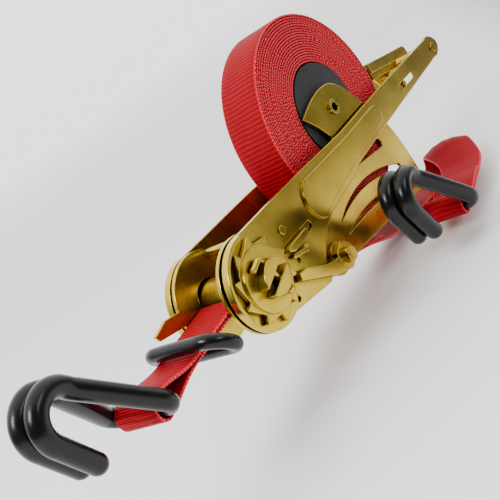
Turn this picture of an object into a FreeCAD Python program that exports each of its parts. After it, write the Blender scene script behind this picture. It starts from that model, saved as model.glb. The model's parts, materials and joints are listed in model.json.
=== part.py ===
import FreeCAD, Part
import math
import os
import Sketcher
from FreeCAD import Placement, Rotation, Vector

# Retractable ratchet strap, 25 mm webbing. Millimetres, Z up.
# The origin is the centre of the reel axle. X runs from the spindle to the grip, -Y is the near side.

DIMENSIONS = {
    "webbing_width": 25.0,
    "webbing_thick": 1.5,
    "coil_radius": 54.7,
    "hub_radius": 26.0,
    "hub_cavity_radius": 22.0,
    "hub_boss_radius": 5.6,
    "hub_width": 24.6,
    "hub_wall": 1.6,
    "axle_radius": 4.0,
    "axle_bore_radius": 2.5,
    "axle_length": 33.2,
    "running_clearance": 0.05,
    "soft_clearance": 0.3,
    "frame_plate_inner": 13.4,
    "frame_plate_thick": 1.8,
    "handle_plate_inner": 16.9,
    "handle_plate_thick": 1.8,
    "panel_height": 1.2,
    "rim_height": 1.8,
    "link_thick": 1.0,
    "groove_depth": 1.2,
    "wheel_inner": 19.0,
    "wheel_thick": 2.2,
    "wheel_tip_radius": 19.8,
    "wheel_root_radius": 15.9,
    "wheel_boss_radius": 15.0,
    "wheel_boss_height": 1.2,
    "wheel_teeth": 10,
    "spindle_x": -120.4,
    "spindle_z": -23.2,
    "spindle_radius": 9.25,
    "spindle_reach": 9.0,
    "spindle_back": 7.9,
    "spindle_slot": 4.0,
    "spindle_length": 55.0,
    "bolt_x": -67.0,
    "bolt_z": -50.5,
    "bolt_radius": 3.7,
    "bolt_length": 49.0,
    "hook_wire": 8.3,
    "hook_bar_half": 17.15,
    "hook_corner": 5.2,
    "hook_leg_half": 4.2,
    "hook_shank": 42.8,
    "hook_curl": 10.1,
    "hook_leg": 18.2,
    "hook_leg_lean": 10.5,
    "ring_wire": 6.3,
    "ring_span_width": 42.0,
    "ring_span_depth": 16.5,
    "ring_corner": 8.0,
    "rod_radius": 2.2,
    "finger_pin_radius": 1.5,
    "spacer_radius": 3.0,
    "loop_width": 21.0,
    "finger_plate_half": 12.5,
    "finger_plate_thick": 1.5,
}

doc = FreeCAD.newDocument("ratchet_strap")
sheet = doc.addObject("Spreadsheet::Sheet", "Sheet")
for row, (alias, value) in enumerate(DIMENSIONS.items(), start=1):
    sheet.set("A%d" % row, alias)
    sheet.set("B%d" % row, str(value))
    sheet.setAlias("B%d" % row, alias)
doc.recompute()


def size(alias):
    """A driving dimension, read from the sheet."""
    return float(getattr(sheet, alias))


NODES = []
SPINDLE = Vector(size("spindle_x"), 0, size("spindle_z"))
BOLT = Vector(size("bolt_x"), 0, size("bolt_z"))
AXIS_Y = Vector(0, 1, 0)


def node(name, feature):
    """Names a finished document object as one exported sub-part."""
    feature.Label = name
    NODES.append(feature)
    return feature


def on_circle(centre, radius, degrees):
    angle = math.radians(degrees)
    return (centre.x + radius * math.cos(angle), centre.z + radius * math.sin(angle))


# ---------------------------------------------------------------- helpers: plates and turned pieces

def sketch_curve(kind, points):
    """A line, three-point arc, circle or spline in the sketch's own plane."""
    flat = [Vector(x, z, 0) for x, z in points]
    if kind == "arc":
        return [Part.Arc(*flat)]
    if kind == "spline":
        curve = Part.BSplineCurve()
        curve.interpolate(flat)
        return [curve]
    return [Part.LineSegment(a, b) for a, b in zip(flat, flat[1:])]


def add_loops(sketch, loops):
    for loop in loops:
        if loop[0] == "circle":
            centre, radius = loop[1:]
            sketch.addGeometry(Part.Circle(Vector(centre[0], centre[1], 0), Vector(0, 0, 1), radius))
            continue
        for kind, points in loop:
            for curve in sketch_curve(kind, points):
                sketch.addGeometry(curve)


def plate_sketch(body, loops, inner_expression):
    """A sketch parallel to the XZ plane, at the given distance towards the near side."""
    plane = next(f for f in body.Origin.OriginFeatures if f.Role == "XZ_Plane")
    sketch = doc.addObject("Sketcher::SketchObject", "Outline")
    body.addObject(sketch)
    sketch.AttachmentSupport = [(plane, "")]
    sketch.MapMode = "FlatFace"
    sketch.setExpression("AttachmentOffset.Base.z", inner_expression)
    add_loops(sketch, loops)
    return sketch


def plate(loops, inner, thick):
    """A flat plate with holes, from y = -inner to y = -(inner + thick)."""
    body = doc.addObject("PartDesign::Body", "Plate")
    sketch = plate_sketch(body, loops, inner)
    pad = doc.addObject("PartDesign::Pad", "Pad")
    body.addObject(pad)
    pad.Profile = sketch
    pad.setExpression("Length", thick)
    doc.recompute()
    return body


def raise_panel(body, loops, inner, height):
    """Adds a raised panel on a plate's outer face."""
    sketch = plate_sketch(body, loops, inner)
    pad = doc.addObject("PartDesign::Pad", "Panel")
    body.addObject(pad)
    pad.Profile = sketch
    pad.setExpression("Length", height)
    doc.recompute()


def cut_groove(body, loops, inner, depth):
    """Sinks a groove into a plate's inner face."""
    sketch = plate_sketch(body, loops, inner)
    pocket = doc.addObject("PartDesign::Pocket", "Groove")
    body.addObject(pocket)
    pocket.Profile = sketch
    pocket.Reversed = True
    pocket.setExpression("Length", depth)
    before = body.Shape.Volume
    doc.recompute()
    if not body.Shape.Volume < before - 1:
        raise RuntimeError("the groove did not cut")


def mirrored(feature):
    """The same piece on the far side."""
    copy = doc.addObject("Part::Mirroring", "Mirror")
    copy.Source = feature
    copy.Normal = AXIS_Y
    return copy


def cylinder(radius, length, x=0.0, z=0.0, start=None):
    """A cylinder along Y. It is centred on the mid-plane unless a start is given."""
    piece = doc.addObject("Part::Cylinder", "Cylinder")
    piece.setExpression("Radius", radius)
    piece.setExpression("Height", length)
    piece.Placement = Placement(Vector(x, 0, z), Rotation(Vector(1, 0, 0), -90))
    piece.setExpression("Placement.Base.y", start if start else "-(%s) / 2" % length)
    return piece


def fuse(*pieces):
    whole = doc.addObject("Part::MultiFuse", "Fuse")
    whole.Shapes = list(pieces)
    return whole


def cut(base, tool):
    rest = doc.addObject("Part::Cut", "Cut")
    rest.Base = base
    rest.Tool = tool
    return rest


def group(*pieces):
    """Separate solids that share one node."""
    compound = doc.addObject("Part::Compound", "Group")
    compound.Links = list(pieces)
    return compound


def solid_feature(shape):
    """A swept or lofted solid, which has no simpler feature."""
    feature = doc.addObject("Part::Feature", "Solid")
    feature.Shape = shape
    return feature


# ---------------------------------------------------------------- helpers: bent wire and webbing

def rounded_path(points, radii, closed=False):
    """A wire of straight runs and tangent arcs round the given corners."""
    count = len(points)
    legs = []
    for index in range(count):
        point = points[index]
        if radii[index] == 0:
            legs.append((point, None, point))
            continue
        before = (points[index - 1] - point).normalize()
        after = (points[(index + 1) % count] - point).normalize()
        turn = math.pi - before.getAngle(after)
        reach = radii[index] * math.tan(turn / 2)
        middle = (before + after).normalize()
        inset = radii[index] / math.cos(turn / 2) - radii[index]
        legs.append((point + before * reach, point + middle * inset, point + after * reach))
    edges = []
    for index, (start, middle, end) in enumerate(legs):
        if middle is not None:
            edges.append(Part.Arc(start, middle, end).toShape())
        if index + 1 < count or closed:
            following = legs[(index + 1) % count][0]
            if end.distanceToPoint(following) > 1e-6:
                edges.append(Part.makeLine(end, following))
    return Part.Wire(Part.__sortEdges__(edges))


def round_bar(path, radius):
    """A round bar swept along a wire."""
    first = path.Edges[0]
    start = first.valueAt(first.FirstParameter)
    along = first.tangentAt(first.FirstParameter)
    section = Part.Wire(Part.makeCircle(radius, start, along))
    return path.makePipeShell([section], True, False)


def webbing_corners(centre, across, normal, width, thick):
    """The four corners of a strap's rectangular section."""
    half = across.normalize() * (width / 2)
    rise = normal.normalize() * (thick / 2)
    return [centre - half - rise, centre + half - rise, centre + half + rise, centre - half + rise]


def ribbon(stations, thick):
    """A strap through (centre, across, width) stations, its thickness square to the way it runs."""
    sections = []
    for index, (centre, across, width) in enumerate(stations):
        before = stations[max(index - 1, 0)][0]
        after = stations[min(index + 1, len(stations) - 1)][0]
        normal = (after - before).cross(across)
        sections.append(webbing_corners(centre, Vector(across), normal, width, thick))
    faces = [Part.Face(Part.makePolygon(ring + ring[:1])) for ring in (sections[0], sections[-1])]
    for first, second in zip(sections, sections[1:]):
        for side in range(4):
            following = (side + 1) % 4
            edge = Part.makeLine(first[side], first[following])
            far_edge = Part.makeLine(second[side], second[following])
            faces.append(Part.makeRuledSurface(edge, far_edge))
    shell = Part.Shell(faces)
    shell.sewShape()
    strap = Part.Solid(shell)
    if strap.Volume < 0:
        strap.reverse()
    return strap


def strap_loop(centre, across, inner, thick, width):
    """A sleeve of webbing round a bar."""
    across = Vector(across).normalize()
    start = centre - across * (width / 2)
    outer = Part.makeCylinder(inner + thick, width, start, across)
    return outer.cut(Part.makeCylinder(inner, width, start, across))


# ---------------------------------------------------------------- frame

FRAME_IN = "Sheet.frame_plate_inner"
FRAME_THICK = "Sheet.frame_plate_thick"
FRAME_FRONT_RADIUS = 22.5
FRONT_BAR = (-107.0, -8.0)
REAR_SPACER = (31.0, -68.5)

front_start = on_circle(SPINDLE, FRAME_FRONT_RADIUS, -22)
front_top = on_circle(SPINDLE, FRAME_FRONT_RADIUS, 135)
front_end = on_circle(SPINDLE, FRAME_FRONT_RADIUS, 299)
bolt_low = on_circle(BOLT, 9.0, 262)
bolt_front = on_circle(BOLT, 9.0, 222)

frame_outline = [
    ("arc", [front_start, front_top, front_end]),
    ("line", [front_end, (-83, -51), bolt_front]),
    ("arc", [bolt_front, on_circle(BOLT, 9.0, 240), bolt_low]),
    ("line", [bolt_low, (-50, -59), (-10, -66), (35, -75)]),
    ("arc", [(35, -75), (38.0, -74.2), (39, -71)]),
    ("spline", [(39, -71), (39.5, -60), (39, -45), (36, -30), (28, -14)]),
    ("spline", [(28, -14), (23, -5), (16, 5), (8, 10.8)]),
    ("spline", [(8, 10.8), (0, 12.2), (-14, 11.3), (-28, 8)]),
    ("spline", [(-28, 8), (-22, 1), (-15.5, -10)]),
    ("spline", [(-15.5, -10), (-33, -21), (-52, -32), (-72, -37.5), front_start]),
]
slot_a = [
    ("spline", [(-12, -31), (4, -29.6), (19, -32)]),
    ("arc", [(19, -32), (21.2, -34.6), (19, -37)]),
    ("spline", [(19, -37), (5, -34.2), (-12, -31)]),
]
slot_b = [
    ("spline", [(-51, -42.5), (-25, -38), (5, -43.3), (23, -51.5)]),
    ("arc", [(23, -51.5), (25, -54.6), (21.6, -56)]),
    ("spline", [(21.6, -56), (5, -47.6), (-25, -40.8), (-51, -42.5)]),
]
slot_c = [
    ("spline", [(-50, -49.5), (-25, -49), (-10, -51.6), (16, -59.5)]),
    ("arc", [(16, -59.5), (17.8, -62.4), (14.6, -63.6)]),
    ("spline", [(14.6, -63.6), (-10, -55), (-25, -51.8), (-50, -49.5)]),
]
frame_holes = [
    ("circle", (SPINDLE.x, SPINDLE.z), size("spindle_radius") + size("running_clearance")),
    ("circle", (BOLT.x, BOLT.z), size("bolt_radius") + size("running_clearance")),
    ("circle", (0, 0), size("axle_radius")),
    ("circle", FRONT_BAR, size("rod_radius")),
    ("circle", REAR_SPACER, size("spacer_radius")),
]
frame_loops = [frame_outline, slot_a, slot_b, slot_c] + frame_holes
frame_near = node("frame_plate_near", plate(frame_loops, FRAME_IN, FRAME_THICK))

tongue_root = on_circle(SPINDLE, FRAME_FRONT_RADIUS - 1, 157)
tongue_under = on_circle(SPINDLE, FRAME_FRONT_RADIUS - 1, 176)
tongue_loop = [("line", [tongue_root, (-150, -12), (-159, -13.5), (-158, -16.5), tongue_under, tongue_root])]
tongue = plate([tongue_loop], FRAME_IN, FRAME_THICK)
node("frame_plate_far", mirrored(fuse(frame_near, tongue)))

node("frame_front_bar", cylinder("Sheet.rod_radius", "2 * (%s + %s)" % (FRAME_IN, FRAME_THICK), *FRONT_BAR))
rear_spacer_length = "2 * (%s + %s) + 1" % (FRAME_IN, FRAME_THICK)
node("frame_rear_spacer", cylinder("Sheet.spacer_radius", rear_spacer_length, *REAR_SPACER))

axle_outside = cylinder("Sheet.axle_radius", "Sheet.axle_length")
axle_bore = cylinder("Sheet.axle_bore_radius", "Sheet.axle_length + 2")
node("reel_axle", cut(axle_outside, axle_bore))

# ---------------------------------------------------------------- anchor bolt and locking pawl

# The bolt turns in the frame with its two nuts and the two pawl arms under them.
node("anchor_bolt", cylinder("Sheet.bolt_radius", "Sheet.bolt_length", BOLT.x, BOLT.z))

ROOT_START = "Sheet.frame_plate_inner + Sheet.frame_plate_thick + 0.2"
ROOT_THICK = "1.9"
ARM_THICK = "3.2"
NUT_THICK = "3.6"
NUT_FLATS = 12.6
ROOT_RADIUS = 7.4
nut_corner = NUT_FLATS / math.sqrt(3)
nut_points = [on_circle(BOLT, nut_corner, 60 * corner + 20) for corner in range(6)]
bolt_hole = ("circle", (BOLT.x, BOLT.z), size("bolt_radius"))
nut_start = "%s + %s" % (ROOT_START, ROOT_THICK)
near_nut = plate([[("line", nut_points + nut_points[:1])], bolt_hole], nut_start, NUT_THICK)
node("anchor_nuts", group(near_nut, mirrored(near_nut)))

tip_high = on_circle(SPINDLE, 20.25, -33)
tip_low = on_circle(SPINDLE, 21.4, -41.5)
root_high = on_circle(BOLT, ROOT_RADIUS, 150)
root_middle = on_circle(BOLT, ROOT_RADIUS, 185)
root_low = on_circle(BOLT, ROOT_RADIUS, 225)
step_high = (-77.6, -46.4)
step_low = (-80.0, -52.6)
arm_outline = [
    ("line", [tip_high, (-97.5, -35.4), (-84.5, -43.6), step_high, root_high]),
    ("arc", [root_high, root_middle, root_low]),
    ("line", [root_low, step_low, tip_low, tip_high]),
]
step_outline = [
    ("line", [step_high, root_high]),
    ("arc", [root_high, root_middle, root_low]),
    ("line", [root_low, step_low, step_high]),
]
root_outline = [
    ("line", [step_high, root_high]),
    ("arc", [root_high, on_circle(BOLT, ROOT_RADIUS, 0), root_low]),
    ("line", [root_low, step_low, step_high]),
]
arm = plate([arm_outline], "Sheet.wheel_inner", ARM_THICK)
step = plate([step_outline], ROOT_START, "Sheet.wheel_inner + 0.5 - (%s)" % ROOT_START)
root = plate([root_outline, bolt_hole], ROOT_START, ROOT_THICK)
near_arm = fuse(arm, step, root)
node("lock_pawl_near", near_arm)
node("lock_pawl_far", mirrored(near_arm))

# ---------------------------------------------------------------- handle

HANDLE_IN = "Sheet.handle_plate_inner"
HANDLE_THICK = "Sheet.handle_plate_thick"
HANDLE_OUT = "Sheet.handle_plate_inner + Sheet.handle_plate_thick"
HANDLE_FRONT_RADIUS = 22.3
GRIP = (125.7, -26.0)
HANDLE_SPACER = (-92.8, -16.2)
PULL = Vector(math.cos(math.radians(-4)), 0, math.sin(math.radians(-4)))
PULL_TRAVEL = 6.0
SLOT_START = Vector(-95.0, 0, -24.6)
FINGER_PIN = Vector(71.0, 0, -24.4)

handle_top = on_circle(SPINDLE, HANDLE_FRONT_RADIUS, 80)
handle_under = on_circle(SPINDLE, HANDLE_FRONT_RADIUS, 282)
handle_outline = [
    ("arc", [handle_top, on_circle(SPINDLE, HANDLE_FRONT_RADIUS, 180), handle_under]),
    ("line", [handle_under, (-84.6, -52.6), (-82.2, -51.4), (-81.8, -46.2)]),
    ("spline", [(-81.8, -46.2), (-74.0, -40.2), (-63.5, -34.6), (-45.3, -31.9), (-14.9, -29.8)]),
    ("line", [(-14.9, -29.8), (38, -30), (122.9, -31.4)]),
    ("spline", [(122.9, -31.4), (130, -30.9), (134.6, -26.5), (131, -20.6), (121.9, -18.2)]),
    ("line", [(121.9, -18.2), (44.4, -13), (-10.8, -10.6), (-55.9, -5.9), (-93.8, -2.9), handle_top]),
]


def slot_loop(start, along, length, radius):
    """A round-ended slot between two centres."""
    end = start + along * length
    side = Vector(-along.z, 0, along.x) * radius
    cap = along * radius
    first = [(start + side), (start - cap), (start - side)]
    last = [(end - side), (end + cap), (end + side)]
    return [
        ("arc", [(p.x, p.z) for p in first]),
        ("line", [(first[2].x, first[2].z), (last[0].x, last[0].z)]),
        ("arc", [(p.x, p.z) for p in last]),
        ("line", [(last[2].x, last[2].z), (first[0].x, first[0].z)]),
    ]


PAWL_THICK = 3.6
PAWL_LENGTH = 13.0
pawl_slot_radius = PAWL_THICK / 2 + 0.3
pawl_slot = slot_loop(SLOT_START, PULL, PAWL_LENGTH + PULL_TRAVEL + 1.2, pawl_slot_radius)
finger_slot = slot_loop(FINGER_PIN - PULL * 7, PULL, 19.6, size("finger_pin_radius") + 0.2)
handle_holes = [
    ("circle", (SPINDLE.x, SPINDLE.z), size("spindle_radius") + size("running_clearance")),
    ("circle", GRIP, size("spacer_radius")),
    ("circle", HANDLE_SPACER, size("rod_radius")),
    ("circle", (-109.5, -42.3), 1.7),
    ("circle", (-94.5, -32.0), 1.3),
    ("circle", (-85.6, -31.6), 1.6),
]
handle_near = plate([handle_outline, pawl_slot, finger_slot] + handle_holes, HANDLE_IN, HANDLE_THICK)
panel_loop = [
    ("line", [(-61, -9.8), (-12, -14), (25, -15.6)]),
    ("arc", [(25, -15.6), (30, -21), (25, -26.4)]),
    ("line", [(25, -26.4), (-12, -26.6), (-48, -28.6), (-61, -31.4)]),
    ("arc", [(-61, -31.4), (-68.5, -20.5), (-61, -9.8)]),
]
raise_panel(handle_near, [panel_loop], HANDLE_OUT, "Sheet.panel_height")
RIM_START, RIM_MIDDLE, RIM_END = 84, 141, 198
rim_inner = 20.6
rim_loop = [
    ("arc", [on_circle(SPINDLE, HANDLE_FRONT_RADIUS, angle) for angle in (RIM_START, RIM_MIDDLE, RIM_END)]),
    ("line", [on_circle(SPINDLE, HANDLE_FRONT_RADIUS, RIM_END), on_circle(SPINDLE, rim_inner, RIM_END)]),
    ("arc", [on_circle(SPINDLE, rim_inner, angle) for angle in (RIM_END, RIM_MIDDLE, RIM_START)]),
    ("line", [on_circle(SPINDLE, rim_inner, RIM_START), on_circle(SPINDLE, HANDLE_FRONT_RADIUS, RIM_START)]),
]
raise_panel(handle_near, [rim_loop], HANDLE_OUT, "Sheet.rim_height")
groove_loop = [("line", [(-84, -21.0), (94, -20.8), (94, -28.6), (-84, -28.6), (-84, -21.0)])]
cut_groove(handle_near, [groove_loop], HANDLE_IN, "Sheet.groove_depth")
node("handle_plate_near", handle_near)
node("handle_plate_far", mirrored(handle_near))

HANDLE_SPAN = "2 * (%s)" % HANDLE_OUT
node("handle_spacer", cylinder("Sheet.rod_radius", HANDLE_SPAN + " + 1.6", *HANDLE_SPACER))
grip_bar = cylinder("Sheet.spacer_radius", HANDLE_SPAN + " + 1.6", *GRIP)
grip_sleeve = cylinder("4.4", "2 * %s - 0.4" % HANDLE_IN, *GRIP)
node("handle_grip_bar", fuse(grip_bar, grip_sleeve))

tab_start = Vector(-87.4, 0, -31.2)
tab_way = Vector(-0.96, 0, 0.28)
near_tab = plate([slot_loop(tab_start, tab_way, 10.2, 1.0)], HANDLE_OUT, "2.0")
node("handle_stop_tabs", group(near_tab, mirrored(near_tab)))

# ---------------------------------------------------------------- drive pawl and finger plate

rise = Vector(-PULL.z, 0, PULL.x)


def along_pull(distance, height):
    """A point on the pawl, measured from the front of its slot."""
    point = SLOT_START + PULL * distance + rise * height
    return (point.x, point.z)


half_thick = PAWL_THICK / 2
block_loop = [("line", [along_pull(0, half_thick), along_pull(PAWL_LENGTH, half_thick),
                        along_pull(PAWL_LENGTH, -half_thick), along_pull(0, -half_thick),
                        along_pull(0, half_thick)])]
nose_loop = [("line", [along_pull(-4.6, 0.9), along_pull(-1.5, half_thick),
                       along_pull(PAWL_LENGTH, half_thick), along_pull(PAWL_LENGTH, -half_thick),
                       along_pull(-1.5, -half_thick), along_pull(-4.6, -0.2), along_pull(-4.6, 0.9)])]
pawl_block = plate([block_loop], "-Sheet.wheel_inner", "2 * Sheet.wheel_inner")
near_nose = plate([nose_loop], "Sheet.wheel_inner", "3.0")
node("drive_pawl", fuse(pawl_block, near_nose, mirrored(near_nose)))

LINK_HALF = 1.9
link_front = along_pull(PAWL_LENGTH + 0.05, LINK_HALF)
link_front_low = along_pull(PAWL_LENGTH + 0.05, -LINK_HALF)
link_rear = (FINGER_PIN.x, FINGER_PIN.z + 3.2)
link_rear_low = (FINGER_PIN.x, FINGER_PIN.z - 3.2)
link_outline = [
    ("line", [link_front_low, link_front, (61, FINGER_PIN.z + LINK_HALF), link_rear]),
    ("arc", [link_rear, (FINGER_PIN.x + 3.2, FINGER_PIN.z), link_rear_low]),
    ("line", [link_rear_low, (61, FINGER_PIN.z - LINK_HALF), link_front_low]),
]
pin_hole = ("circle", (FINGER_PIN.x, FINGER_PIN.z), size("finger_pin_radius"))
link_inner = "Sheet.handle_plate_inner + 0.05"
near_link = plate([link_outline, pin_hole], link_inner, "Sheet.link_thick")
node("drive_links", group(near_link, mirrored(near_link)))
node("finger_pin", cylinder("Sheet.finger_pin_radius", HANDLE_SPAN + " + 1", FINGER_PIN.x, FINGER_PIN.z))

# The finger plate is a channel: two side flanges, a web between them, and two ears down to the pin.
flange_top = [(57.2, -0.9), (101.5, -10.6)]
flange_nose = [(101.5, -10.6), (105.4, -12.9), (105.6, -17.6)]
flange_loop = [
    ("line", flange_top),
    ("arc", flange_nose),
    ("line", [flange_nose[-1], (57.2, -6.8), flange_top[0]]),
]
ear_loop = [("line", [(57.6, -5.0), (92.0, -13.2), (88.0, -18.0), (62.0, -11.8), (74.6, -24.0),
                      (71.0, -28.0), (67.4, -26.2), (57.6, -10.8), (57.6, -5.0)])]
web_loop = [("line", [(57.6, -3.6), (102.0, -14.0), (101.6, -15.5), (57.6, -5.1), (57.6, -3.6)])]
EAR_INNER = "Sheet.finger_plate_half - 2 * Sheet.finger_plate_thick"
FLANGE_INNER = "Sheet.finger_plate_half - Sheet.finger_plate_thick"
near_flange = plate([flange_loop], FLANGE_INNER, "Sheet.finger_plate_thick")
near_ear = plate([ear_loop, pin_hole], EAR_INNER, "Sheet.finger_plate_thick")
web = plate([web_loop], "-(Sheet.finger_plate_half - 0.1)", "2 * Sheet.finger_plate_half - 0.2")
node("finger_plate", fuse(web, near_flange, mirrored(near_flange), near_ear, mirrored(near_ear)))

# ---------------------------------------------------------------- spindle and ratchet wheels

SLOT_TURN = 14.0
SLOT_ANGLE = math.radians(SLOT_TURN)
SLOT_WAY = Vector(math.cos(SLOT_ANGLE), 0, math.sin(SLOT_ANGLE))
COTTER_Y = 24.6
COTTER_RADIUS = 1.4
COTTER_OFFSET = 1.6
COTTER_HEAD_RADIUS = 2.0
COTTER_HEAD = 1.8
COTTER_HALF = 10.6


def by_spindle(along, across):
    """A point measured along the spindle's slot and across it."""
    x = SPINDLE.x + along * SLOT_WAY.x - across * SLOT_WAY.z
    z = SPINDLE.z + along * SLOT_WAY.z + across * SLOT_WAY.x
    return (x, z)


def half_moon(sign, ease=0.0):
    """The section of one spindle half. A little ease makes the hole that it fills."""
    level = sign * (size("spindle_slot") / 2 - ease)
    reach = size("spindle_reach") + ease
    back = sign * (size("spindle_back") + ease)
    left = by_spindle(-reach, level)
    right = by_spindle(reach, level)
    return [("line", [left, right]), ("arc", [right, by_spindle(0, back), left])]


def cotter_hole(side):
    """The hole for a cotter, straight through both halves."""
    piece = doc.addObject("Part::Cylinder", "CotterHole")
    piece.Radius = COTTER_RADIUS
    piece.Height = 2 * COTTER_HALF
    x, z = by_spindle(COTTER_OFFSET, -COTTER_HALF)
    piece.Placement = Placement(Vector(x, side * COTTER_Y, z), Rotation(AXIS_Y, -SLOT_TURN))
    return piece


def cotter(side):
    """A headed pin through both spindle halves, its far end bent over."""
    corners = []
    for along, across in ((COTTER_OFFSET, -COTTER_HALF), (COTTER_OFFSET, COTTER_HALF), (-5.4, COTTER_HALF)):
        x, z = by_spindle(along, across)
        corners.append(Vector(x, side * COTTER_Y, z))
    shank = round_bar(rounded_path(corners, [0, 2.0, 0]), COTTER_RADIUS)
    up = (corners[1] - corners[0]).normalize()
    head = Part.makeCylinder(COTTER_HEAD_RADIUS, COTTER_HEAD, corners[0] - up * (COTTER_HEAD / 2), up)
    return solid_feature(shank.fuse(head))


SPINDLE_START = "-Sheet.spindle_length / 2"
cotter_holes = fuse(cotter_hole(-1), cotter_hole(1))
node("spindle_half_upper", cut(plate([half_moon(1)], SPINDLE_START, "Sheet.spindle_length"), cotter_holes))
node("spindle_half_lower", cut(plate([half_moon(-1)], SPINDLE_START, "Sheet.spindle_length"), cotter_holes))
node("spindle_cotters", group(cotter(-1), cotter(1)))

TOOTH_PITCH = 360.0 / size("wheel_teeth")
wheel_points = []
for tooth in range(int(size("wheel_teeth"))):
    tip_angle = 40 + tooth * TOOTH_PITCH
    wheel_points.append(on_circle(SPINDLE, size("wheel_tip_radius"), tip_angle))
    wheel_points.append(on_circle(SPINDLE, size("wheel_root_radius"), tip_angle + TOOTH_PITCH - 4))

HOLE_EASE = 0.02
half_holes = [half_moon(1, HOLE_EASE), half_moon(-1, HOLE_EASE)]
wheel_loops = [[("line", wheel_points + wheel_points[:1])]] + half_holes
near_wheel = plate(wheel_loops, "Sheet.wheel_inner", "Sheet.wheel_thick")
boss_loops = [("circle", (SPINDLE.x, SPINDLE.z), size("wheel_boss_radius"))] + half_holes
raise_panel(near_wheel, boss_loops, "Sheet.wheel_inner + Sheet.wheel_thick", "Sheet.wheel_boss_height")
node("ratchet_wheel_near", near_wheel)
node("ratchet_wheel_far", mirrored(near_wheel))

# ---------------------------------------------------------------- reel

drum_outside = cylinder("Sheet.hub_radius", "Sheet.hub_width")
cavity_start = "-Sheet.hub_width / 2 + Sheet.hub_wall"
drum_cavity = cylinder("Sheet.hub_cavity_radius", "Sheet.hub_width", start=cavity_start)
drum_boss = cylinder("Sheet.hub_boss_radius", "Sheet.hub_width - 2 * Sheet.hub_wall - 0.2",
                     start="-Sheet.hub_width / 2 + Sheet.hub_wall - 0.1")
AXLE_FIT = "Sheet.axle_radius + Sheet.running_clearance"
drum_shell = fuse(cut(drum_outside, drum_cavity), drum_boss)
node("reel_hub", cut(drum_shell, cylinder(AXLE_FIT, "Sheet.hub_width + 2")))

cover_start = "Sheet.hub_width / 2 - Sheet.hub_wall"
cover_disc = cylinder("Sheet.hub_cavity_radius", "Sheet.hub_wall", start=cover_start)
node("reel_cover", cut(cover_disc, cylinder(AXLE_FIT, "Sheet.hub_width + 2")))

SPRING_TURNS = 6
SPRING_THICK = 0.6
spring_inside = size("hub_boss_radius") + 0.2
spring_outside = size("hub_cavity_radius") - 0.4


def spiral(offset):
    curve = Part.BSplineCurve()
    points = []
    for step in range(SPRING_TURNS * 24 + 1):
        share = step / (SPRING_TURNS * 24.0)
        radius = spring_inside + (spring_outside - spring_inside - SPRING_THICK) * share + offset
        angle = 2 * math.pi * SPRING_TURNS * share
        points.append(Vector(radius * math.cos(angle), 0, radius * math.sin(angle)))
    curve.interpolate(points)
    return curve.toShape(), points


inner_edge, inner_points = spiral(0)
outer_edge, outer_points = spiral(SPRING_THICK)
spring_wire = Part.Wire([inner_edge, Part.makeLine(inner_points[-1], outer_points[-1]), outer_edge,
                         Part.makeLine(outer_points[0], inner_points[0])])
spring_face = Part.Face(spring_wire)
spring_face.translate(Vector(0, -9.5, 0))
node("reel_spring", solid_feature(spring_face.extrude(Vector(0, 19, 0))))

coil_outside = cylinder("Sheet.coil_radius", "Sheet.webbing_width - 0.2")
coil_inside = cylinder("Sheet.hub_radius", "Sheet.webbing_width + 2")
node("strap_coil", cut(coil_outside, coil_inside))

# ---------------------------------------------------------------- webbing at the spindle

WIDTH = size("webbing_width")
THICK = size("webbing_thick")
GAP = size("soft_clearance")
run_radius = size("coil_radius") + GAP + THICK / 2
spindle_angle = math.atan2(SPINDLE.z, SPINDLE.x)
tangent_angle = spindle_angle + math.acos(run_radius / SPINDLE.Length)
run_start = Vector(run_radius * math.cos(tangent_angle), 0, run_radius * math.sin(tangent_angle))
run_way = (SPINDLE - run_start).normalize()
run_end = SPINDLE - run_way * (size("spindle_radius") + 0.9)
node("strap_run", solid_feature(ribbon([(run_start, AXIS_Y, WIDTH), (run_end, AXIS_Y, WIDTH)], THICK)))

slot_reach = SLOT_WAY * (size("spindle_reach") - 0.1)
slot_stations = [(SPINDLE - slot_reach, AXIS_Y, WIDTH), (SPINDLE + slot_reach, AXIS_Y, WIDTH)]
node("strap_in_spindle", solid_feature(ribbon(slot_stations, 2 * THICK)))

# ---------------------------------------------------------------- hooks and ring


def hook_shape(centre, bar, shank):
    """A double J hook: a straight bar, two shanks that draw together, and two curled legs."""
    bar = Vector(bar).normalize()
    shank = Vector(shank)
    shank = (shank - bar * shank.dot(bar)).normalize()
    up = bar.cross(shank)

    def at(across, out, height):
        return centre + bar * across + shank * out + up * height

    curl = size("hook_curl")
    turn = math.pi - math.radians(size("hook_leg_lean"))
    reach = curl * math.tan(turn / 4)
    root = size("hook_shank") - 2.2
    legs = []
    for side in (-1, 1):
        legs_half = side * size("hook_leg_half")
        first = (size("hook_shank") + reach, 0.0)
        way = (math.cos(turn / 2), -math.sin(turn / 2))
        second = (first[0] + 2 * reach * way[0], first[1] + 2 * reach * way[1])
        back = (math.cos(turn), -math.sin(turn))
        leg = reach + size("hook_leg")
        tip = (second[0] + leg * back[0], second[1] + leg * back[1])
        bar_end = at(side * size("hook_bar_half"), 0, 0)
        curled = [at(legs_half, *tip), at(legs_half, *second), at(legs_half, *first)]
        legs.append(curled + [at(legs_half, root, 0), bar_end])
    points = legs[0] + legs[1][::-1]
    radii = [0, curl, curl, 14.0, size("hook_corner")]
    radius = size("hook_wire") / 2
    bent = round_bar(rounded_path(points, radii + radii[::-1]), radius)
    for tip in (points[0], points[-1]):
        bent = bent.fuse(Part.makeSphere(radius, tip))
    return bent


FRONT_BAR_CENTRE = Vector(-194.9, -1.35, -22.6)
FRONT_BAR_WAY = Vector(-0.1637, 0.9847, 0.0598)
FRONT_SHANK_WAY = Vector(-0.5791, -0.145, 0.8022)
node("front_hook", solid_feature(hook_shape(FRONT_BAR_CENTRE, FRONT_BAR_WAY, FRONT_SHANK_WAY)))

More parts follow.
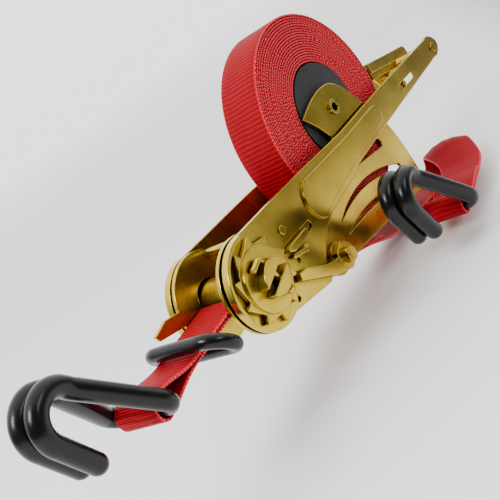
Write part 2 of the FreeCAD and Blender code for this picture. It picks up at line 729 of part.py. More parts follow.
REAR_BAR_CENTRE = Vector(-12.0, -47.0, -70.7)
REAR_BAR_WAY = Vector(-0.1082, 0.9932, 0.042)
REAR_SHANK_WAY = Vector(-0.5885, -0.0981, 0.8026)
node("rear_hook", solid_feature(hook_shape(REAR_BAR_CENTRE, REAR_BAR_WAY, REAR_SHANK_WAY)))

RING_CENTRE = Vector(-161.85, -4.4, -22.7)
RING_DEPTH_WAY = Vector(0.686, 0, -0.728)
ring_corners = []
for across, deep in ((-1, -1), (1, -1), (1, 1), (-1, 1)):
    offset = AXIS_Y * (across * size("ring_span_width") / 2)
    offset = offset + RING_DEPTH_WAY * (deep * size("ring_span_depth") / 2)
    ring_corners.append(RING_CENTRE + offset)
ring_path = rounded_path(ring_corners, [size("ring_corner")] * 4, closed=True)
node("keeper_ring", solid_feature(round_bar(ring_path, size("ring_wire") / 2)))

# ---------------------------------------------------------------- front and rear straps

# Each strap narrows a little where it goes round a hook's bar, between the two shanks.
LOOP_WIDTH = size("loop_width")
MIDDLE_WIDTH = (WIDTH + LOOP_WIDTH) / 2
loop_inner = size("hook_wire") / 2 + GAP
loop_middle = loop_inner + THICK / 2


def bar_core(centre, bar):
    """The room that a strap leaves round a hook's bar."""
    return Part.makeCylinder(loop_inner, 3 * WIDTH, centre - bar * (1.5 * WIDTH), bar)


join = Vector(-172.0, 0, -22.7)
strap_start = Vector(SPINDLE.x - size("spindle_radius") - 0.6, 0, -22.9)
double_run = [(strap_start, AXIS_Y, WIDTH), (Vector(-150, 0, -22.7), AXIS_Y, WIDTH), (join, AXIS_Y, WIDTH)]
front_strap = ribbon(double_run, 2 * THICK)
front_strap = front_strap.fuse(strap_loop(FRONT_BAR_CENTRE, FRONT_BAR_WAY, loop_inner, THICK, LOOP_WIDTH))
for side in (1, -1):
    leaf_level = Vector(0, 0, side * THICK / 2)
    tangent = FRONT_BAR_CENTRE + Vector(1.6, 0, side * loop_middle * 0.95)
    leaf = [(join + Vector(0.4, 0, 0) + leaf_level, AXIS_Y, WIDTH),
            (join * 0.5 + tangent * 0.5 + leaf_level * 0.5, AXIS_Y + FRONT_BAR_WAY, MIDDLE_WIDTH),
            (tangent, FRONT_BAR_WAY, LOOP_WIDTH)]
    front_strap = front_strap.fuse(ribbon(leaf, THICK))
node("front_strap", solid_feature(front_strap.cut(bar_core(FRONT_BAR_CENTRE, FRONT_BAR_WAY))))

# The rear strap hangs from the bolt, runs back under the frame, turns over and comes forward to its hook.
# It turns over askew, so its section is wider there.
bolt_loop_inner = size("bolt_radius") + GAP
rear_stations = [
    (BOLT + Vector(0.5, 0, -(bolt_loop_inner + THICK / 2)), AXIS_Y, WIDTH),
    (Vector(-43, 0, -62), AXIS_Y, WIDTH),
    (Vector(-7, 0, -77), AXIS_Y, WIDTH),
    (Vector(32, -3, -82), Vector(0.12, 1, 0), WIDTH),
    (Vector(52, -6, -84), Vector(0.12, 1, 0), WIDTH),
    (Vector(70, -9.5, -83.5), AXIS_Y, 27),
    (Vector(80, -12.5, -80.5), Vector(-0.2, 0.97, 0), 31),
    (Vector(82.5, -14, -76), Vector(-0.33, 0.94, 0), 34),
    (Vector(76, -18.5, -74), Vector(-0.42, 0.9, 0), 30),
    (Vector(65, -26, -74.5), Vector(-0.45, 0.88, 0), 26),
    (Vector(49, -34.5, -75.5), Vector(-0.3, 0.95, 0), WIDTH),
    (Vector(34, -38.8, -75), Vector(-0.2, 0.98, 0), WIDTH),
    (Vector(14, -42.8, -73.6), Vector(-0.13, 0.99, 0), WIDTH),
    (Vector(1, -45, -74.9), REAR_BAR_WAY, MIDDLE_WIDTH),
    (REAR_BAR_CENTRE + Vector(0, 0, -loop_middle), REAR_BAR_WAY, LOOP_WIDTH),
]
rear_strap = ribbon(rear_stations, THICK)
rear_strap = rear_strap.fuse(strap_loop(BOLT, AXIS_Y, bolt_loop_inner, THICK, WIDTH))
rear_strap = rear_strap.fuse(strap_loop(REAR_BAR_CENTRE, REAR_BAR_WAY, loop_inner, THICK, LOOP_WIDTH))
node("rear_strap", solid_feature(rear_strap.cut(bar_core(REAR_BAR_CENTRE, REAR_BAR_WAY))))

# ---------------------------------------------------------------- checks and export

doc.recompute()
for feature in doc.Objects:
    if "Invalid" in feature.State or "Error" in feature.State:
        raise RuntimeError("%s (%s): %s" % (feature.Name, feature.Label, feature.State))
os.makedirs("parts", exist_ok=True)
for feature in NODES:
    shape = feature.Shape
    if shape.isNull() or not shape.isValid() or not shape.Solids:
        raise RuntimeError("%s has a bad shape" % feature.Label)
    shape.exportStep("parts/%s.step" % feature.Label)
    box = shape.BoundBox
    spans = (box.XMin, box.XMax, box.YMin, box.YMax, box.ZMin, box.ZMax)
    print("%-20s solids %d" % (feature.Label, len(shape.Solids)), end="  ")
    print("x %.1f..%.1f  y %.1f..%.1f  z %.1f..%.1f" % spans, end="  ")
    print("volume %.0f" % shape.Volume)
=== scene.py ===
"""Looks for the retractable ratchet strap: plated plates, coated hooks and red webbing. Metres."""
import json
import math
import random

import bmesh
import bpy
from mathutils import Matrix, Vector


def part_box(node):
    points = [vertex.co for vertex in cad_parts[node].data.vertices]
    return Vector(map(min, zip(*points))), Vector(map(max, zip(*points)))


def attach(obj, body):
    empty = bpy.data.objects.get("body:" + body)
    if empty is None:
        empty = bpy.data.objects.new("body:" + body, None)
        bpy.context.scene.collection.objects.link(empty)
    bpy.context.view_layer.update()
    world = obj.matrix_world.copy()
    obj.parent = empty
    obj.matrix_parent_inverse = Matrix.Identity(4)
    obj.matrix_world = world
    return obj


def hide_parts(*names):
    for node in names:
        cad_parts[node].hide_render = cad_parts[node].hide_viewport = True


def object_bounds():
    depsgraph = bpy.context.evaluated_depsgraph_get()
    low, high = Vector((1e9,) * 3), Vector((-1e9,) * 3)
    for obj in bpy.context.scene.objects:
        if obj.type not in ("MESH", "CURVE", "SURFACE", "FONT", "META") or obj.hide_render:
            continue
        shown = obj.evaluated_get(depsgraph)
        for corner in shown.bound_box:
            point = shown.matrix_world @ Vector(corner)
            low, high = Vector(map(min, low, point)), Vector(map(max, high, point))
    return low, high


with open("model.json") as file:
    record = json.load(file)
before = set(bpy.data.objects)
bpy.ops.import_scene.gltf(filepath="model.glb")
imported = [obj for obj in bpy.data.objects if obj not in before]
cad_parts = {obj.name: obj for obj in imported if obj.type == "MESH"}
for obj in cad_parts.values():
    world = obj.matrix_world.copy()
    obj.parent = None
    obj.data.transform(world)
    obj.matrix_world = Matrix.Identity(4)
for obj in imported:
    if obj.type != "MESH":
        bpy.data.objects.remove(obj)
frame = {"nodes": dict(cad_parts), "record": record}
cad_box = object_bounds()
MM = 0.001
NODES = frame["nodes"]
rng = random.Random(7)

# ------------------------------------------------------------------ sizes shared with the CAD

WIDTH = 25.0 * MM
THICK = 1.5 * MM
LOOP_WIDTH = 21.0 * MM
NARROWED = 23.0 * MM
SLACK = 0.3 * MM
HOOK_RADIUS = 4.15 * MM
LOOP_RADIUS = HOOK_RADIUS + SLACK + THICK / 2
BOLT_LOOP_RADIUS = 4.0 * MM + THICK / 2
HUB_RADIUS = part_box("reel_hub")[1][0]
COIL_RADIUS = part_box("strap_coil")[1][0]
SPINDLE = Vector((-120.4, 0, -23.2)) * MM
BOLT = Vector((-67.0, 0, -50.5)) * MM
FRONT_BAR = Vector((-194.9, -1.35, -22.6)) * MM
FRONT_BAR_WAY = Vector((-0.1637, 0.9847, 0.0598)).normalized()
REAR_BAR = Vector((-12.0, -47.0, -70.7)) * MM
REAR_BAR_WAY = Vector((-0.1082, 0.9932, 0.042)).normalized()
SLOT_ANGLE = math.radians(14)
SLOT_HALF_LENGTH = 8.9 * MM
SPINDLE_STANDOFF = 10.2 * MM
AXIS_X = Vector((1, 0, 0))
AXIS_Y = Vector((0, 1, 0))


# ------------------------------------------------------------------ materials


class Nodes:
    """A small helper for building one material's node tree."""

    def __init__(self, name):
        self.material = bpy.data.materials.new(name)
        self.material.use_nodes = True
        self.tree = self.material.node_tree
        self.shader = self.tree.nodes["Principled BSDF"]

    def add(self, kind, **inputs):
        made = self.tree.nodes.new(kind)
        for key, value in inputs.items():
            made.inputs[key.replace("_", " ")].default_value = value
        return made

    def link(self, source, target):
        self.tree.links.new(source, target)

    def math(self, operation, first, second=None):
        made = self.tree.nodes.new("ShaderNodeMath")
        made.operation = operation
        for socket, value in zip(made.inputs, (first, second)):
            if isinstance(value, (int, float)):
                socket.default_value = value
            elif value is not None:
                self.link(value, socket)
        return made.outputs[0]

    def ramp(self, factor, stops):
        made = self.tree.nodes.new("ShaderNodeValToRGB")
        elements = made.color_ramp.elements
        while len(elements) < len(stops):
            elements.new(0.5)
        for element, (place, colour) in zip(elements, stops):
            element.position = place
            element.color = colour if len(colour) == 4 else (*colour, 1)
        self.link(factor, made.inputs["Fac"])
        return made.outputs["Color"]

    def mix(self, factor, first, second, blend="MIX"):
        made = self.tree.nodes.new("ShaderNodeMix")
        made.data_type = "RGBA"
        made.blend_type = blend
        for socket, value in ((made.inputs[0], factor), (made.inputs[6], first), (made.inputs[7], second)):
            if isinstance(value, (int, float)):
                socket.default_value = value
            elif isinstance(value, tuple):
                socket.default_value = (*value, 1)
            else:
                self.link(value, socket)
        return made.outputs[2]

    def noise(self, scale, detail=4.0, stretch=(1, 1, 1)):
        place = self.tree.nodes.new("ShaderNodeTexCoord")
        squeeze = self.tree.nodes.new("ShaderNodeMapping")
        squeeze.inputs["Scale"].default_value = stretch
        self.link(place.outputs["Object"], squeeze.inputs["Vector"])
        made = self.add("ShaderNodeTexNoise", Scale=scale, Detail=detail)
        self.link(squeeze.outputs["Vector"], made.inputs["Vector"])
        return made.outputs["Fac"]

    def bump(self, height, strength, distance, normal=None):
        made = self.add("ShaderNodeBump", Strength=strength, Distance=distance)
        self.link(height, made.inputs["Height"])
        if normal is not None:
            self.link(normal, made.inputs["Normal"])
        return made.outputs["Normal"]

    def painted_crevice_shade(self, reach, dark):
        """Painted shade: white in the open, falling to the dark colour in corners and gaps where shade falls.
        """
        made = self.add("ShaderNodeAmbientOcclusion", Distance=reach)
        made.samples = 16
        return self.ramp(made.outputs["AO"], [(0.25, dark), (0.85, (1.0, 1.0, 1.0))])

    def edge(self, radius):
        made = self.tree.nodes.new("ShaderNodeBevel")
        made.samples = 8
        made.inputs["Radius"].default_value = radius
        return made.outputs["Normal"]


def yellow_zinc():
    """Yellow-passivated zinc: a deep golden plate with drifting olive, amber and brown tints."""
    m = Nodes("yellow_zinc")
    clouds = m.noise(20, 4.0)
    tint = m.ramp(clouds, [(0.30, (0.34, 0.22, 0.026)), (0.46, (0.56, 0.40, 0.046)),
                           (0.58, (0.68, 0.52, 0.060)), (0.74, (0.36, 0.31, 0.042))])
    warm = m.ramp(m.noise(8, 3.0), [(0.38, (1.0, 1.0, 1.0)), (0.72, (0.84, 0.70, 0.52))])
    plated = m.mix(0.75, tint, warm, "MULTIPLY")
    # Painted shade: the plate colour darkens towards (0.30, 0.28, 0.22) in corners and in gaps between parts.
    shade = m.painted_crevice_shade(7 * MM, (0.30, 0.28, 0.22))
    m.link(m.mix(1.0, plated, shade, "MULTIPLY"), m.shader.inputs["Base Color"])
    m.shader.inputs["Metallic"].default_value = 1.0
    rough = m.ramp(m.noise(60, 6.0), [(0.3, (0.19,) * 3), (0.7, (0.30,) * 3)])
    m.link(rough, m.shader.inputs["Roughness"])
    grain = m.noise(900, 3.0, (0.25, 1, 1))
    ripple = m.noise(45, 2.0)
    rounded = m.edge(0.8 * MM)
    wavy = m.bump(ripple, 0.10, 0.5 * MM, rounded)
    m.link(m.bump(grain, 0.10, 0.05 * MM, wavy), m.shader.inputs["Normal"])
    return m.material


def black_coat():
    """Thick black dip coating, satin and faintly uneven."""
    m = Nodes("black_coat")
    cloud = m.noise(40, 4.0)
    m.link(m.ramp(cloud, [(0.3, (0.002, 0.002, 0.0022)), (0.7, (0.005, 0.005, 0.0055))]),
           m.shader.inputs["Base Color"])
    m.link(m.ramp(m.noise(70, 5.0), [(0.3, (0.20,) * 3), (0.7, (0.32,) * 3)]), m.shader.inputs["Roughness"])
    m.shader.inputs["Specular IOR Level"].default_value = 0.27
    m.link(m.bump(m.noise(260, 3.0), 0.10, 0.15 * MM), m.shader.inputs["Normal"])
    return m.material


def hub_plastic():
    """Dark moulded plastic with a fine spark-eroded grain."""
    m = Nodes("hub_plastic")
    cloud = m.noise(50, 4.0)
    m.link(m.ramp(cloud, [(0.3, (0.014, 0.016, 0.019)), (0.7, (0.028, 0.031, 0.036))]),
           m.shader.inputs["Base Color"])
    m.link(m.ramp(m.noise(120, 4.0), [(0.3, (0.48,) * 3), (0.7, (0.64,) * 3)]), m.shader.inputs["Roughness"])
    m.link(m.bump(m.noise(1500, 2.0), 0.25, 0.05 * MM, m.edge(0.4 * MM)), m.shader.inputs["Normal"])
    return m.material


def spring_steel():
    """Blued steel strip for the spring inside the reel."""
    m = Nodes("spring_steel")
    m.link(m.ramp(m.noise(90, 5.0), [(0.3, (0.20, 0.21, 0.25)), (0.7, (0.38, 0.38, 0.42))]),
           m.shader.inputs["Base Color"])
    m.shader.inputs["Metallic"].default_value = 1.0
    m.link(m.ramp(m.noise(200, 3.0), [(0.3, (0.28,) * 3), (0.7, (0.4,) * 3)]), m.shader.inputs["Roughness"])
    return m.material


RIB_PITCH = 0.85 * MM
BROAD_PITCH = 2.3 * MM
FLECK_PITCH = 1.7 * MM
WARP_PITCH = 0.9 * MM
# Width of the painted highlight along the strap's half-round side edges.
EDGE_HIGHLIGHT_WIDTH = 0.75 * MM
FLECK_EDGE = 0.25 * MM


def red_webbing():
    """Ribbed polyester webbing. The strap map holds metres along (x) and across (y) the strap."""
    m = Nodes("red_webbing")
    place = m.tree.nodes.new("ShaderNodeUVMap")
    place.uv_map = "strap"
    parts = m.tree.nodes.new("ShaderNodeSeparateXYZ")
    m.link(place.outputs["UV"], parts.inputs[0])
    along, across = parts.outputs[0], parts.outputs[1]
    rib = m.math("SINE", m.math("MULTIPLY", along, 2 * math.pi / RIB_PITCH))
    warp = m.math("SINE", m.math("MULTIPLY", across, 2 * math.pi / WARP_PITCH))
    weave = m.math("ADD", m.math("MULTIPLY", rib, 0.7), m.math("MULTIPLY", warp, 0.18))
    lift = m.math("ADD", m.math("MULTIPLY", weave, 0.5), 0.5)
    # Painted shade: the colour darkens in the rib valleys and lightens on the raised crests.
    body = m.ramp(lift, [(0.0, (0.11, 0.001, 0.004)), (0.45, (0.40, 0.002, 0.010)),
                         (1.0, (0.60, 0.003, 0.018))])
    # Painted shade: the troughs between the broad swells are darkened in the multiply below.
    wander = m.math("MULTIPLY", m.noise(60, 3.0), 9.0)
    broad_place = m.math("ADD", m.math("MULTIPLY", along, 2 * math.pi / BROAD_PITCH), wander)
    broad = m.math("ADD", m.math("MULTIPLY", m.math("SINE", broad_place), 0.5), 0.5)
    body = m.mix(1.0, body, m.ramp(broad, [(0.0, (0.60, 0.56, 0.58)), (0.7, (1.0, 1.0, 1.0))]), "MULTIPLY")
    fading = m.ramp(m.noise(35, 4.0), [(0.3, (0.86, 0.86, 0.86)), (0.7, (1.0, 1.0, 1.0))])
    body = m.mix(1.0, body, fading, "MULTIPLY")
    centre_distance = m.math("ABSOLUTE", across)
    # Painted highlight: the half-round side edges are mixed towards a brighter red.
    edge = m.math("GREATER_THAN", centre_distance, WIDTH / 2 - EDGE_HIGHLIGHT_WIDTH)
    drift = m.add("ShaderNodeTexNoise")
    drift.noise_dimensions = "1D"
    drift.inputs["Scale"].default_value = 40.0
    m.link(along, drift.inputs["W"])
    scatter = m.math("MULTIPLY", drift.outputs["Fac"], 40.0)
    fleck_wave = m.math("SINE", m.math("ADD", m.math("MULTIPLY", along, 2 * math.pi / FLECK_PITCH), scatter))
    crown = m.math("GREATER_THAN", centre_distance, WIDTH / 2 - FLECK_EDGE)
    fleck = m.math("MULTIPLY", m.math("GREATER_THAN", fleck_wave, 0.45), crown)
    edge_highlight_red = m.mix(m.math("MULTIPLY", edge, 0.7), body, (0.86, 0.008, 0.030))
    faded_fleck = m.math("MULTIPLY", fleck, 0.6)
    flecked = m.mix(faded_fleck, edge_highlight_red, (0.85, 0.25, 0.25))
    # Painted shade: the webbing colour darkens in the gaps between turns and inside folds.
    shade = m.painted_crevice_shade(1.6 * MM, (0.30, 0.22, 0.24))
    m.link(m.mix(1.0, flecked, shade, "MULTIPLY"), m.shader.inputs["Base Color"])
    m.shader.inputs["Roughness"].default_value = 0.58
    m.shader.inputs["Specular IOR Level"].default_value = 0.06
    swell = m.bump(broad, 0.5, 0.25 * MM)
    m.link(m.bump(lift, 0.7, 0.16 * MM, swell), m.shader.inputs["Normal"])
    return m.material


ZINC = yellow_zinc()
BLACK = black_coat()
HUB = hub_plastic()
SPRING = spring_steel()
WEBBING = red_webbing()
BY_SLOT = {
    "yellow_zinc": ZINC,
    "black_coat": BLACK,
    "hub_plastic": HUB,
    "spring_steel": SPRING,
    "red_webbing": WEBBING,
}

for part in frame["record"]["subparts"]:
    node = NODES[part["node"]]
    node.data.materials.clear()
    node.data.materials.append(BY_SLOT[part["material_slot"]])


# ------------------------------------------------------------------ webbing meshes


def smooth_line(points, gaps, steps):
    """A smooth curve through unevenly spaced points. gaps holds the distance to each next point."""
    last = len(points) - 1
    runs = [(points[index + 1] - points[index]) / gaps[index] for index in range(last)]
    slopes = [runs[0]]
    for index in range(1, last):
        total = gaps[index - 1] + gaps[index]
        slopes.append((runs[index - 1] * gaps[index] + runs[index] * gaps[index - 1]) / total)
    slopes.append(runs[-1])
    line = []
    for index in range(last):
        for step in range(steps):
            t = step / steps
            blend = 3 * t ** 2 - 2 * t ** 3
            start = points[index] * (1 - blend) + points[index + 1] * blend
            lean = slopes[index] * (t ** 3 - 2 * t ** 2 + t) + slopes[index + 1] * (t ** 3 - t ** 2)
            line.append(start + lean * gaps[index])
    line.append(points[-1].copy())
    return line


def section_points(width, thick):
    """Half-round edges and flat faces: (across, out) pairs round a strap's section."""
    half, rise = width / 2, thick / 2
    flat = half - rise
    across = [-flat, -flat * 0.5, 0, flat * 0.5, flat]
    under = [(a, -rise) for a in across]
    edge = [(flat + rise * 0.8, -rise * 0.55), (half, 0), (flat + rise * 0.8, rise * 0.55)]
    over = [(a, rise) for a in reversed(across)]
    far_edge = [(-a, r) for a, r in reversed(edge)]
    return under + edge + over + far_edge


def strap_mesh(name, centres, ways, bows=None, thick=THICK, wobble=None):
    """A webbing strip through the centres. Each way points across the strip and is as long as it is wide.

    A bow curves the section, its middle standing out by that much. wobble gives each ring's shift sideways.
    """
    bm = bmesh.new()
    strap_map = bm.loops.layers.uv.new("strap")
    profile = section_points(WIDTH, thick)
    rings = []
    travelled = [0.0]
    for first, second in zip(centres, centres[1:]):
        travelled.append(travelled[-1] + (second - first).length)
    last = len(centres) - 1
    for index, (centre, way) in enumerate(zip(centres, ways)):
        tangent = (centres[min(index + 1, last)] - centres[max(index - 1, 0)]).normalized()
        across = way.normalized()
        out = tangent.cross(across).normalized()
        shift = wobble(index) if wobble else 0.0
        narrowing = way.length / WIDTH
        bow = bows[index] if bows else 0.0
        ring = []
        for a, o in profile:
            stand = bow * (1 - (2 * a / WIDTH) ** 2)
            ring.append(bm.verts.new(centre + across * (a * narrowing + shift) + out * (o - stand)))
        rings.append(ring)
    count = len(profile)
    for index in range(last):
        for side in range(count):
            following = (side + 1) % count
            corners = [(index, side), (index, following), (index + 1, following), (index + 1, side)]
            face = bm.faces.new([rings[i][j] for i, j in corners])
            face.smooth = True
            for loop, (i, j) in zip(face.loops, corners):
                loop[strap_map].uv = (travelled[i], profile[j][0])
    for ring, turned in ((rings[0], False), (rings[-1], True)):
        cap = bm.faces.new(ring if turned else ring[::-1])
        for loop in cap.loops:
            loop[strap_map].uv = (0.0, 0.0)
    bm.normal_update()
    bmesh.ops.recalc_face_normals(bm, faces=bm.faces)
    mesh = bpy.data.meshes.new(name)
    bm.to_mesh(mesh)
    bm.free()
    piece = bpy.data.objects.new(name, mesh)
    bpy.context.scene.collection.objects.link(piece)
    mesh.materials.append(WEBBING)
    return piece


def strap_through(name, stations, steps=8, thick=THICK):
    """A strap through (centre, across, width, bow) stations."""
    places = [Vector(station[0]) for station in stations]
    gaps = [(after - before).length for before, after in zip(places, places[1:])]
    ways = [Vector(across).normalized() * width for _, across, width, _ in stations]
    bows = [AXIS_X * station[3] for station in stations]
    smooth_bows = [bow.x for bow in smooth_line(bows, gaps, steps)]
    centres = smooth_line(places, gaps, steps)
    return strap_mesh(name, centres, smooth_line(ways, gaps, steps), smooth_bows, thick)


def webbing_piece(piece, body, *nodes):
    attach(piece, body)
    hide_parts(*nodes)


# ------------------------------------------------------------------ straps

# The reel: one long strip wound from the hub to the outside.
TURNS = int((COIL_RADIUS - HUB_RADIUS) / THICK)
STEPS_PER_TURN = 72
coil_steps = TURNS * STEPS_PER_TURN
inner = HUB_RADIUS + THICK * 0.55
growth = (COIL_RADIUS - THICK * 0.5 - inner) / coil_steps
END_ANGLE = math.radians(253.7)
turn_shift = [rng.uniform(-0.22, 0.22) * MM for _ in range(TURNS + 2)]
coil_centres = []
for step in range(coil_steps + 1):
    angle = END_ANGLE - 2 * math.pi * (coil_steps - step) / STEPS_PER_TURN
    radius = inner + growth * step
    coil_centres.append(Vector((radius * math.cos(angle), 0, radius * math.sin(angle))))


def coil_wobble(index):
    turn = index / STEPS_PER_TURN
    low = int(turn)
    blend = turn - low
    return turn_shift[low] * (1 - blend) + turn_shift[low + 1] * blend


coil_ways = [AXIS_Y * (WIDTH - 0.5 * MM)] * len(coil_centres)
coil = strap_mesh("coil_webbing", coil_centres, coil_ways, thick=THICK * 0.9, wobble=coil_wobble)
webbing_piece(coil, "reel", "strap_coil")

# The run from the reel to the spindle, and the fold that lies in the spindle's slot.
run_radius = COIL_RADIUS + SLACK + THICK / 2
spindle_angle = math.atan2(SPINDLE.z, SPINDLE.x)
tangent_angle = spindle_angle + math.acos(run_radius / SPINDLE.length)
run_start = Vector((run_radius * math.cos(tangent_angle), 0, run_radius * math.sin(tangent_angle)))
run_way = (SPINDLE - run_start).normalized()
run_end = SPINDLE - run_way * SPINDLE_STANDOFF
run_stations = [(run_start.lerp(run_end, share), AXIS_Y, WIDTH, 0) for share in (0, 0.33, 0.66, 1)]
run = strap_through("run_webbing", run_stations, steps=12)
webbing_piece(run, "frame", "strap_run")
slot_reach = Vector((math.cos(SLOT_ANGLE), 0, math.sin(SLOT_ANGLE))) * SLOT_HALF_LENGTH
slot_stations = [(SPINDLE + slot_reach * share, AXIS_Y, WIDTH, 0) for share in (-1, 0, 1)]
slot_fold = strap_through("slot_webbing", slot_stations, thick=2 * THICK)
webbing_piece(slot_fold, "spindle", "strap_in_spindle")


def round_bar(centre, bar, radius, start, end, width):
    """Stations round a bar, from start to end degrees. 0 points along X and 90 points down."""
    first = (AXIS_X - bar * AXIS_X.dot(bar)).normalized()
    second = bar.cross(first)
    steps = 12
    stations = []
    for step in range(steps + 1):
        angle = math.radians(start + (end - start) * step / steps)
        spoke = first * math.cos(angle) + second * math.sin(angle)
        stations.append((centre + spoke * radius, bar, width, 0))
    return stations


def flat_run(points, lift=0.0):
    """Stations at full width, square across, through points given in millimetres and raised by lift."""
    rise = Vector((0, 0, lift))
    return [(Vector(point) * MM + rise, AXIS_Y, WIDTH, 0) for point in points]


# The front strap: over the hook's bar and back under itself, one leaf lying on the other.
LEAF = THICK * 0.52
front_leaf = [(-131.5, 0, -22.7), (-145, 0, -22.7), (-160, 0, -22.7), (-171, 0, -22.7)]
front_loop = round_bar(FRONT_BAR, FRONT_BAR_WAY, LOOP_RADIUS, -80, -280, LOOP_WIDTH)
front_stations = flat_run(front_leaf, LEAF) + front_loop + flat_run(front_leaf[::-1], -LEAF)
front_strap = strap_through("front_webbing", front_stations)
webbing_piece(front_strap, "frame", "front_strap")

# The rear strap: round the anchor bolt, back under the frame, over in a wide curl and round its hook's bar.
DOWN_RUN = [
    ((-43, 0, -62), (0, 1, 0), 25, 0), ((-7, 0, -77), (0, 1, 0), 25, 0), ((32, -3, -82), (0.12, 1, 0), 25, 0),
    ((52, -6, -84), (0.12, 1, 0), 25, 0), ((68, -9.5, -83.5), (0, 1, 0), 26, 1),
    ((77, -12.5, -80.5), (-0.12, 0.99, 0), 29, 3), ((79.5, -14, -76), (-0.20, 0.97, 0), 31, 4),
    ((73.5, -18.5, -73.5), (-0.34, 0.93, 0), 29, 4), ((64, -26, -74), (-0.43, 0.89, 0), 26, 2),
    ((49, -34.5, -75.5), (-0.3, 0.95, 0), 25, 0), ((34, -38.8, -75), (-0.2, 0.98, 0), 25, 0),
    ((14, -42.8, -73.6), (-0.13, 0.99, 0), 25, 0),
]
TAIL = [((14, -42.8, -73.6), (-0.13, 0.99, 0), 25, 0), ((28, -40.2, -74.4), (-0.17, 0.98, 0), 25, 0)]
TAIL_LIFT = THICK * 1.05


def askew_run(points, lift=0.0):
    """Stations in millimetres whose width need not be square to the way they run."""
    rise = Vector((0, 0, lift))
    return [(Vector(point) * MM + rise, across, width * MM, bow * MM) for point, across, width, bow in points]


bolt_tail = flat_run([(-22, 0, -70.8), (-43, 0, -62)], TAIL_LIFT)
bolt_loop = round_bar(BOLT, AXIS_Y, BOLT_LOOP_RADIUS, -50, -275, WIDTH)
rear_approach = [(Vector((1, -45, -74.9)) * MM, REAR_BAR_WAY, NARROWED, 0)]
rear_loop = round_bar(REAR_BAR, REAR_BAR_WAY, LOOP_RADIUS, 80, 290, LOOP_WIDTH)
rear_return = [(Vector((3, -44.7, -72.6)) * MM, REAR_BAR_WAY, NARROWED, 0)]
rear_tail = rear_return + askew_run(TAIL, TAIL_LIFT)
rear_stations = bolt_tail + bolt_loop + askew_run(DOWN_RUN) + rear_approach + rear_loop + rear_tail
rear_strap = strap_through("rear_webbing", rear_stations)
webbing_piece(rear_strap, "frame", "rear_strap")

# ------------------------------------------------------------------ floor, light and camera

floor_level = cad_box[0][2] - 1.5 * MM


def pale_floor():
    """Pale floor with painted shade and painted light: white under the object, painted darker towards its
    near side, and given a painted glow far behind it.
    """
    m = Nodes("pale_floor")
    place = m.tree.nodes.new("ShaderNodeTexCoord")
    lean = m.tree.nodes.new("ShaderNodeVectorMath")
    lean.operation = "DOT_PRODUCT"
    lean.inputs[1].default_value = (0.5, -0.87, 0)
    m.link(place.outputs["Object"], lean.inputs[0])
    # Painted shade: the floor colour falls from near white to dark grey towards the object's near side.
    painted_floor_shade = m.ramp(lean.outputs["Value"], [(0.12, (0.95, 0.95, 0.95)), (0.27, (0.14, 0.14, 0.14))])
    paper = m.ramp(m.noise(3, 2.0), [(0.3, (0.97, 0.97, 0.97)), (0.7, (1.0, 1.0, 1.0))])
    m.link(m.mix(1.0, painted_floor_shade, paper, "MULTIPLY"), m.shader.inputs["Base Color"])
    m.shader.inputs["Roughness"].default_value = 0.85
    m.shader.inputs["Specular IOR Level"].default_value = 0.1
    # Painted light: the floor glows more strongly the farther it lies behind the object, though it is no
    # lamp.
    away = m.tree.nodes.new("ShaderNodeVectorMath")
    away.operation = "DOT_PRODUCT"
    away.inputs[1].default_value = (0.71, 0.71, 0)
    m.link(place.outputs["Object"], away.inputs[0])
    far = m.tree.nodes.new("ShaderNodeMapRange")
    for key, value in (("From Min", 0.4), ("From Max", 3.0), ("To Min", 0.0), ("To Max", 0.85)):
        far.inputs[key].default_value = value
    m.link(away.outputs["Value"], far.inputs["Value"])
    m.shader.inputs["Emission Color"].default_value = (1, 1, 1, 1)
    m.link(far.outputs["Result"], m.shader.inputs["Emission Strength"])
    return m.material


bpy.ops.mesh.primitive_plane_add(size=60.0, location=(0, 0, floor_level))
floor = bpy.context.object
floor.name = "floor"
floor.data.materials.append(pale_floor())


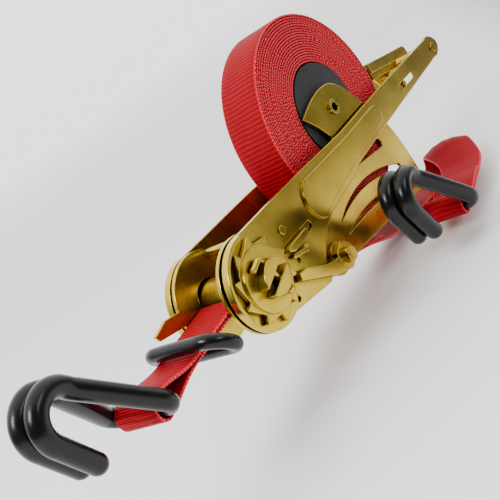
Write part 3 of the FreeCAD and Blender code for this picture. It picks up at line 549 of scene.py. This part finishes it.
def studio_world():
    """A white studio, bright on the far side of the object and dim on the near side."""
    world = bpy.data.worlds.new("studio")
    world.use_nodes = True
    bpy.context.scene.world = world
    tree = world.node_tree
    place = tree.nodes.new("ShaderNodeTexCoord")
    lean = tree.nodes.new("ShaderNodeVectorMath")
    lean.operation = "DOT_PRODUCT"
    lean.inputs[1].default_value = (0.55, 0.55, 0.63)
    tree.links.new(place.outputs["Generated"], lean.inputs[0])
    fade = tree.nodes.new("ShaderNodeValToRGB")
    near, far = fade.color_ramp.elements
    near.position, near.color = 0.0, (0.05, 0.05, 0.055, 1)
    far.position, far.color = 0.65, (1.0, 1.0, 1.0, 1)
    tree.links.new(lean.outputs["Value"], fade.inputs["Fac"])
    backdrop = tree.nodes["Background"]
    tree.links.new(fade.outputs["Color"], backdrop.inputs["Color"])
    backdrop.inputs["Strength"].default_value = 2.35


studio_world()


def softbox(name, place, aim, size, power):
    """An area light at place, facing aim."""
    lamp = bpy.data.lights.new(name, "AREA")
    lamp.shape = "RECTANGLE"
    lamp.size, lamp.size_y = size
    lamp.energy = power
    holder = bpy.data.objects.new(name, lamp)
    holder.location = place
    holder.rotation_euler = (Vector(aim) - Vector(place)).to_track_quat("-Z", "Y").to_euler()
    bpy.context.scene.collection.objects.link(holder)


TARGET = (-0.03, 0.05, -0.03)
softbox("key", (-0.70, 0.05, 0.60), TARGET, (0.30, 0.30), 7)
softbox("near", (0.05, -0.8, 0.5), TARGET, (0.5, 0.2), 2.5)

CAMERA_PLACE = Vector((-345.8, -245.2, 88.5)) * MM
CAMERA_FORWARD = Vector((0.68117, 0.67166, -0.29135)).normalized()
CAMERA_RIGHT = Vector((0.44071, -0.69395, -0.56940)).normalized()
CAMERA_UP = CAMERA_RIGHT.cross(CAMERA_FORWARD)
lens = bpy.data.cameras.new("camera")
lens.sensor_width = 36.0
lens.lens = 57.4
lens.clip_start = 0.01
camera = bpy.data.objects.new("camera", lens)
axes = Matrix((CAMERA_RIGHT, CAMERA_UP, -CAMERA_FORWARD)).transposed().to_4x4()
camera.matrix_world = Matrix.Translation(CAMERA_PLACE) @ axes
bpy.context.scene.collection.objects.link(camera)
bpy.context.scene.camera = camera
